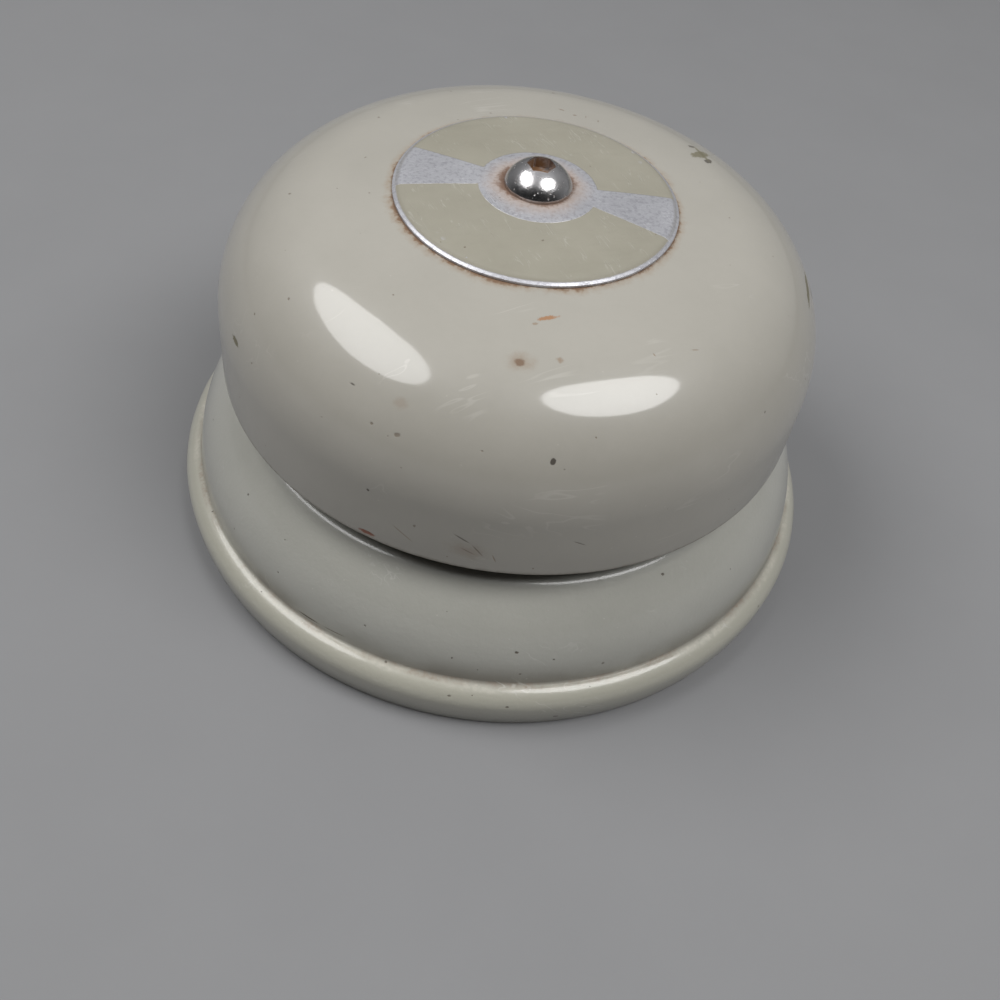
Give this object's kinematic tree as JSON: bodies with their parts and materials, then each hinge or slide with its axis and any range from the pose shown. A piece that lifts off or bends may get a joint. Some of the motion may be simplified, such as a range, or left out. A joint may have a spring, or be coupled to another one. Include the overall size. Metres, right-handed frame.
{
  "type": "electric bell",
  "caption": "Round under-dome electric bell: a grey gong on a centre screw over a pan with a trembler mechanism, for a wall box.",
  "frame": {"origin": "middle of the flat back, where the bell's axis meets the wall", "axes": "+Z out of the wall along the bell's axis towards the centre screw, +Y along the line of the two box screws, away from the armature; +X to its right seen from the front"},
  "size_m": [0.118, 0.118, 0.0702],
  "materials": {
    "gong_paint": "warm light grey gloss paint on drawn steel, yellowed and spotted",
    "pan_paint": "light grey gloss paint with a paler, worn hem",
    "bare_aluminium": "brushed bare aluminium with two enamelled fields",
    "plated_screw": "bright plated steel, rusty in the socket",
    "zinc_steel": "zinc-plated steel, slightly dull",
    "bright_steel": "bright drawn wire and pin steel",
    "soft_iron": "annealed soft iron, grey",
    "enamelled_wire": "close turns of enamelled copper wire",
    "moulded_phenolic": "dark brown moulded phenolic",
    "red_fibre": "vulcanised fibre",
    "brass": "machined brass",
    "spring_bronze": "rolled phosphor bronze strip",
    "silver": "contact silver",
    "lead_sleeve": "varnished cotton sleeving",
    "black_rubber": "moulded rubber"
  },
  "bodies": {
    "base": {"mounting_plate": "zinc_steel", "plate_pillars": "zinc_steel", "base_pan": "pan_paint", "pan_screws": "zinc_steel", "wire_grommet": "black_rubber", "gong_post": "zinc_steel", "post_washer": "zinc_steel", "post_nut": "zinc_steel", "gong_washer": "red_fibre", "magnet_frame": "zinc_steel", "frame_screws": "zinc_steel", "core_left": "soft_iron", "core_right": "soft_iron", "bobbin_left": "moulded_phenolic", "bobbin_right": "moulded_phenolic", "winding_left": "enamelled_wire", "winding_right": "enamelled_wire", "pivot_bracket": "zinc_steel", "bracket_rivets": "zinc_steel", "pivot_pin": "bright_steel", "return_spring": "spring_bronze", "return_rivet": "brass", "contact_pillar": "brass", "pillar_insulator": "red_fibre", "pillar_bushes": "red_fibre", "pillar_screws": "zinc_steel", "contact_nut": "brass", "terminal_block": "moulded_phenolic", "terminal_plates": "brass", "terminal_screws": "brass", "block_screws": "zinc_steel", "coil_link": "lead_sleeve", "coil_lead": "lead_sleeve", "contact_lead": "lead_sleeve", "frame_lead": "lead_sleeve"},
    "armature_set": {"armature": "soft_iron", "armature_rivets": "brass", "contact_spring": "spring_bronze", "moving_contact": "silver", "striker_rod": "bright_steel", "striker_ball": "brass"},
    "adjuster": {"contact_screw": "brass", "contact_tip": "silver"},
    "gong_set": {"gong": "gong_paint", "label_plate": "bare_aluminium", "gong_screw": "plated_screw"}
  },
  "joints": [
    {"name": "armature_swing", "type": "hinge", "parent": "base", "child": "armature_set", "pos_m": [0.026, -0.01725, 0.0385], "axis": [0, 0, -1], "range_deg": [0, 2.7], "stiffness_Nm_per_rad": 0.1, "springref_deg": -2.86},
    {"name": "contact_adjust", "type": "hinge", "parent": "base", "child": "adjuster", "pos_m": [-0.00379, -0.02266, 0.0385], "axis": [0, -1, 0], "range_deg": [-360, 360]},
    {"name": "gong_lift", "type": "slide", "parent": "base", "child": "gong_set", "axis": [0, 0, 1], "range_m": [0, 0.06]}
  ]
}
